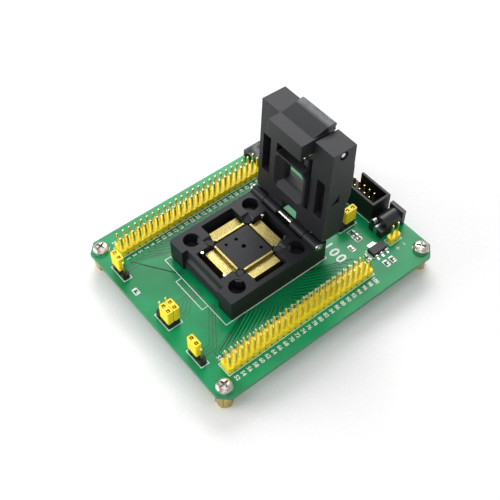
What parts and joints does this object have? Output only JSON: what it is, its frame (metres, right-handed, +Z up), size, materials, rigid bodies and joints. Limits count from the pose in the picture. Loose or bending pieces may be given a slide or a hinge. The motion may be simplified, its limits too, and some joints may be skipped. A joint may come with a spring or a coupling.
{
  "type": "ic programming adapter",
  "caption": "Circuit board with a hinged clamshell socket for a quad flat chip, two long pin headers, a shrouded header, a power jack and jumpers.",
  "frame": {"origin": "middle of the four standoffs, on the surface that they stand on", "axes": "+X to the right along the hinge, +Y away from the front edge towards the lid, +Z up"},
  "size_m": [0.08, 0.0964, 0.0624],
  "materials": {
    "solder_mask_board": "green solder mask over glass epoxy",
    "brass": "turned brass",
    "steel": "plated steel",
    "gold_plate": "gold plate",
    "yellow_plastic": "moulded yellow plastic",
    "tinned_metal": "tin plate",
    "shell_steel": "folded steel",
    "chip_ceramic": "fired ceramic",
    "epoxy_black": "moulded epoxy",
    "black_plastic": "moulded glass-filled plastic"
  },
  "bodies": {
    "board": {"pcb": "solder_mask_board", "standoffs": "brass", "board_screws": "steel", "left_header_body": "yellow_plastic", "left_header_pins": "gold_plate", "right_header_body": "yellow_plastic", "right_header_pins": "gold_plate", "power_header_body": "yellow_plastic", "power_header_pins": "gold_plate", "left_jumper_base": "black_plastic", "left_jumper_pins": "gold_plate", "middle_jumper_base": "black_plastic", "middle_jumper_pins": "gold_plate", "right_jumper_base": "black_plastic", "right_jumper_pins": "gold_plate", "supply_jumper_base": "black_plastic", "supply_jumper_pins": "gold_plate", "socket_base": "black_plastic", "seating_platform": "black_plastic", "contacts_front": "gold_plate", "contacts_back": "gold_plate", "contacts_left": "gold_plate", "contacts_right": "gold_plate", "retainer_pins": "steel", "hinge_pin": "steel", "hinge_clips": "steel", "box_header_shroud": "black_plastic", "box_header_pins": "gold_plate", "jack_body": "black_plastic", "jack_centre_pin": "tinned_metal", "jack_contacts": "tinned_metal", "usb_shell": "shell_steel", "usb_tongue": "black_plastic", "regulator_body": "epoxy_black", "regulator_leads": "tinned_metal", "chip_resistors": "chip_ceramic", "chip_capacitors": "chip_ceramic", "status_led": "chip_ceramic"},
    "lid": {"lid_frame": "black_plastic", "plate_pins": "steel", "stop_rod": "steel", "latch_pin": "steel", "latch_spring": "steel"},
    "latch": {"lid_latch": "black_plastic"},
    "plate": {"pressure_plate": "black_plastic"},
    "left_cap": {"left_jumper_cap": "yellow_plastic"},
    "middle_front_cap": {"middle_jumper_front_cap": "yellow_plastic"},
    "middle_back_cap": {"middle_jumper_back_cap": "yellow_plastic"},
    "right_cap": {"right_jumper_cap": "yellow_plastic"},
    "supply_cap": {"supply_jumper_cap": "yellow_plastic"}
  },
  "joints": [
    {"name": "lid_hinge", "type": "hinge", "parent": "board", "child": "lid", "pos_m": [0, 0.0112, 0.0182], "axis": [1, 0, 0], "range_deg": [0, 92.5]},
    {"name": "latch_pivot", "type": "hinge", "parent": "lid", "child": "latch", "pos_m": [0, 0.0187, 0.05786], "axis": [1, 0, 0], "range_deg": [-9, 0], "stiffness_Nm_per_rad": 0.02, "springref_deg": 5.73, "deforming": ["latch_spring"]},
    {"name": "plate_pivot", "type": "hinge", "parent": "lid", "child": "plate", "pos_m": [0, 0.01707, 0.03796], "axis": [1, 0, 0], "range_deg": [-3, 0]},
    {"name": "left_cap_pull", "type": "slide", "parent": "board", "child": "left_cap", "axis": [0, 0, 1], "range_m": [0, 0.006]},
    {"name": "middle_front_cap_pull", "type": "slide", "parent": "board", "child": "middle_front_cap", "axis": [0, 0, 1], "range_m": [0, 0.006]},
    {"name": "middle_back_cap_pull", "type": "slide", "parent": "board", "child": "middle_back_cap", "axis": [0, 0, 1], "range_m": [0, 0.006]},
    {"name": "right_cap_pull", "type": "slide", "parent": "board", "child": "right_cap", "axis": [0, 0, 1], "range_m": [0, 0.006]},
    {"name": "supply_cap_pull", "type": "slide", "parent": "board", "child": "supply_cap", "axis": [0, 0, 1], "range_m": [0, 0.006]}
  ]
}
